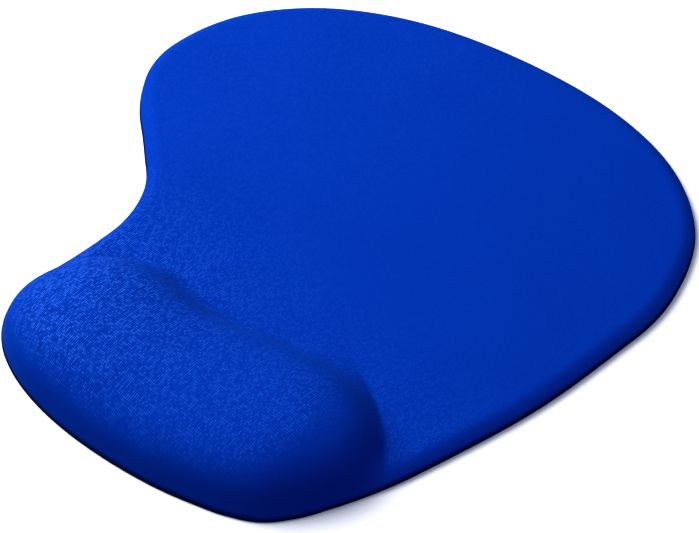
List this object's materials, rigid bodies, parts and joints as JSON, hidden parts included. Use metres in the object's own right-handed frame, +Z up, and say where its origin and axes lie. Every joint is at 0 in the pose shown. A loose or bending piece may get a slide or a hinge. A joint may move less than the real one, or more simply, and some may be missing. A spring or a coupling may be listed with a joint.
{
  "type": "mouse pad with wrist rest",
  "caption": "Rounded knit-covered mouse pad that narrows to a lobe with a raised kidney-shaped gel wrist rest, on a non-slip base.",
  "frame": {"origin": "on the underside, at the middle of the outline's box", "axes": "+Z up from the table, +Y from the wrist lobe towards the far end of the mat, +X to the user's right"},
  "size_m": [0.2001, 0.2129, 0.02],
  "materials": {
    "knit": "fine stretch knit, satin",
    "film": "clear laminating film",
    "adhesive": "dry adhesive film",
    "foam": "closed-cell foam",
    "pouch_film": "clear welded film",
    "gel": "soft translucent gel",
    "rubber_base": "matte moulded rubber"
  },
  "bodies": {
    "root": {"knit_cover": "knit", "cover_film": "film", "core_adhesive": "adhesive", "mat_core": "foam", "gel_pouch_top": "pouch_film", "gel_fill": "gel", "gel_pouch_base": "pouch_film", "base_adhesive": "adhesive", "grip_base": "rubber_base"}
  },
  "joints": []
}
